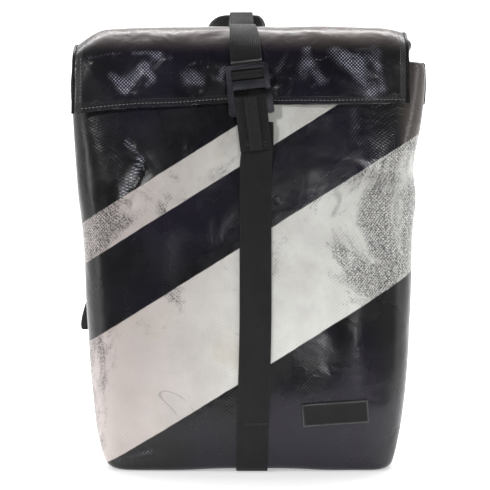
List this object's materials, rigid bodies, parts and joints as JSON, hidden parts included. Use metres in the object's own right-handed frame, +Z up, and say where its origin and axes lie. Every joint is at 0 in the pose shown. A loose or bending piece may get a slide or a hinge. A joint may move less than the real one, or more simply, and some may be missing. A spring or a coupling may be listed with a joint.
{
  "type": "roll-top messenger backpack",
  "caption": "Tall roll-top backpack of used truck tarp: folded-over mouth held by a front strap with a flat hook buckle, carry handle and padded shoulder straps.",
  "frame": {"origin": "on the floor, in the middle of the strap that runs below the base", "axes": "+Z up, the front with the buckle faces -Y, +X is to the right of the front"},
  "size_m": [0.4062, 0.2121, 0.5205],
  "materials": {
    "tarp": "used glossy vinyl-coated tarpaulin, dark with worn pale colour areas",
    "black_tarp": "black vinyl-coated tape and tarpaulin, satin",
    "webbing": "ribbed black webbing, matt",
    "strap_cloth": "black padded cloth, matt",
    "rubber": "bare moulded rubber patch, satin",
    "buckle_metal": "dark anodised plate, worn bright at the edges",
    "snap_metal": "darkened steel",
    "black_plastic": "black moulded plastic"
  },
  "bodies": {
    "root": {"tarp_body": "tarp", "roll_flap": "tarp", "flap_binding_left": "black_tarp", "flap_binding_right": "black_tarp", "bellows_left": "black_tarp", "bellows_right": "black_tarp", "gusset_binding_left": "black_tarp", "gusset_binding_right": "black_tarp", "upper_strap": "webbing", "lower_strap": "webbing", "strap_loop": "webbing", "loop_band": "webbing", "carry_handle": "webbing", "name_patch": "rubber", "snap_stud": "snap_metal", "hook_buckle": "buckle_metal", "shoulder_strap_left": "strap_cloth", "shoulder_strap_right": "strap_cloth", "strap_web_left": "webbing", "strap_web_right": "webbing", "ladder_lock_left": "black_plastic", "ladder_lock_right": "black_plastic", "base_tab_left": "black_tarp", "base_tab_right": "black_tarp", "back_yoke": "black_tarp"}
  },
  "joints": []
}
